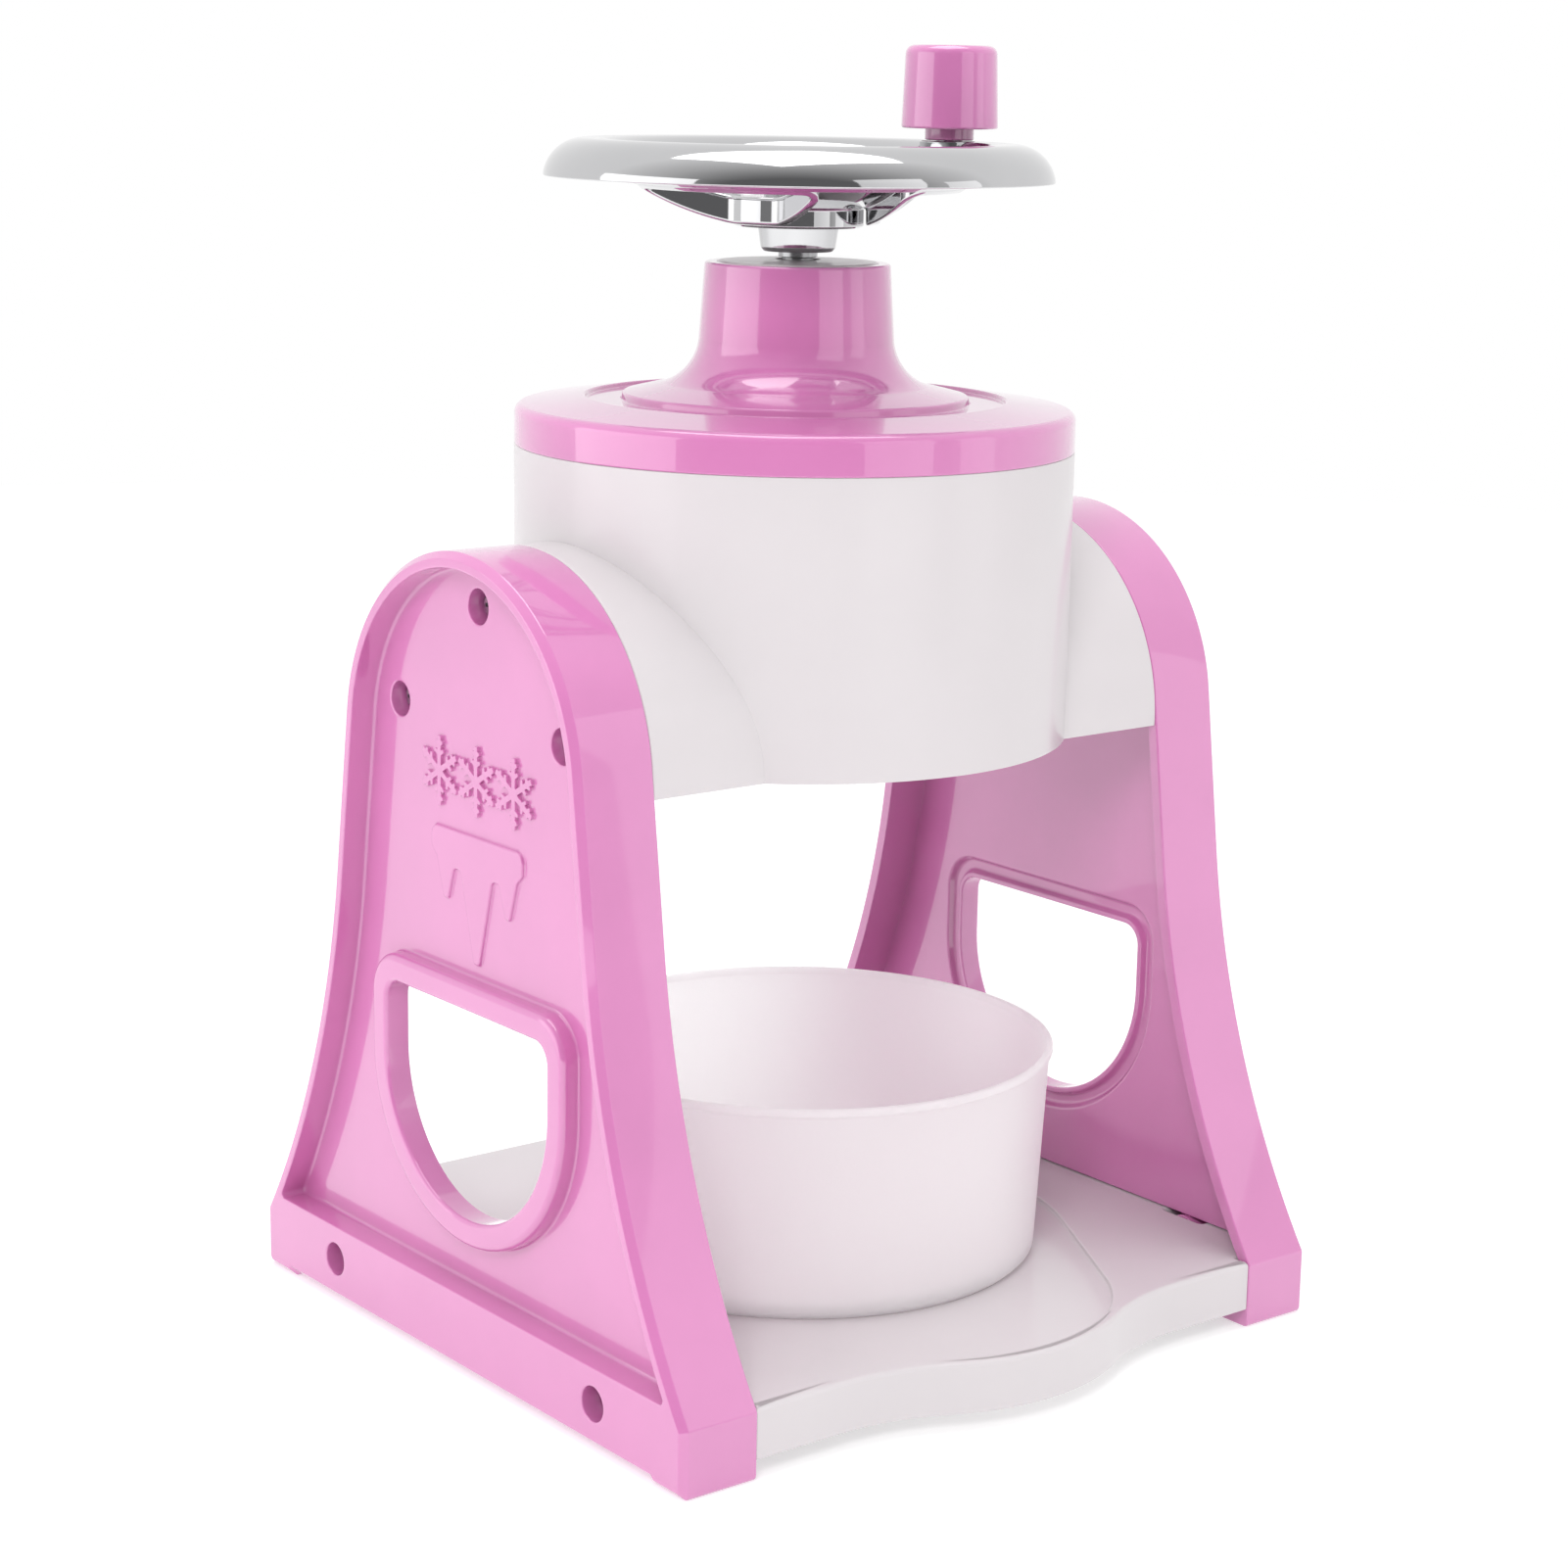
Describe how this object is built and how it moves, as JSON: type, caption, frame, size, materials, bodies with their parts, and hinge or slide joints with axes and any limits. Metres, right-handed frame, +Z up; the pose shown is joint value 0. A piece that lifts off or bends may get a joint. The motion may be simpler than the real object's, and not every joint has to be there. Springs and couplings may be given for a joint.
{
  "type": "hand-cranked ice shaver",
  "caption": "Hand-cranked ice shaver: a handwheel screws a spiked disc down an ice chamber onto a fixed blade, held between two side panels above a base plate and bowl.",
  "frame": {"origin": "on the surface that it stands on, under the middle of the footprint, which lies 5.9 mm ahead of the chamber's axis", "axes": "+Z up along the screw shaft, -Y to the front where the bowl comes out, +X to the right-hand side panel"},
  "size_m": [0.1876, 0.1856, 0.2986],
  "materials": {
    "pink_plastic": "glossy injection-moulded orchid pink",
    "white_plastic": "satin gloss warm white",
    "frosted_plastic": "frosted translucent natural plastic",
    "nylon": "matte natural nylon",
    "chrome": "mirror chrome plating",
    "brushed_steel": "turned and brushed stainless steel"
  },
  "bodies": {
    "frame": {"side_panel_left": "pink_plastic", "side_panel_right": "pink_plastic", "hopper": "white_plastic", "hopper_floor": "white_plastic", "hopper_wing_left": "white_plastic", "hopper_wing_right": "white_plastic", "hopper_screws_left": "brushed_steel", "hopper_screws_right": "brushed_steel", "base_plate": "white_plastic", "base_screws_left": "brushed_steel", "base_screws_right": "brushed_steel", "shaving_blade": "brushed_steel", "blade_clamp": "brushed_steel", "blade_screws": "brushed_steel"},
    "lid": {"lid": "pink_plastic", "feed_nut": "white_plastic"},
    "feed": {"stop_washer": "nylon"},
    "drive": {"drive_shaft": "brushed_steel", "gripper_disc": "white_plastic", "gripper_spikes": "brushed_steel", "gripper_washer": "brushed_steel", "gripper_nut": "brushed_steel", "handwheel": "chrome", "hub_collar": "chrome", "wheel_washer": "brushed_steel", "wheel_nut": "chrome", "knob_spindle": "brushed_steel", "knob_nut": "brushed_steel"},
    "knob": {"crank_knob": "pink_plastic"},
    "bowl": {"bowl": "frosted_plastic"}
  },
  "joints": [
    {"name": "lid_lift", "type": "slide", "parent": "frame", "child": "lid", "axis": [0, 0, 1], "range_m": [0, 0.15]},
    {"name": "screw_feed", "type": "slide", "parent": "lid", "child": "feed", "axis": [0, 0, 1], "range_m": [0, 0.0485]},
    {"name": "wheel_turn", "type": "hinge", "parent": "feed", "child": "drive", "pos_m": [0, 0.0059, 0.26], "axis": [0, 0, 1], "range_deg": [0, 4320]},
    {"name": "knob_spin", "type": "hinge", "parent": "drive", "child": "knob", "pos_m": [0.045, 0.0059, 0.285], "axis": [0, 0, 1], "continuous": true},
    {"name": "bowl_pull", "type": "slide", "parent": "frame", "child": "bowl", "axis": [0, -0.9962, 0.0872], "range_m": [0, 0.18]}
  ],
  "couplings": [
    {"joint": "screw_feed", "follows": "wheel_turn", "m_per_rad": 0.00063662}
  ]
}
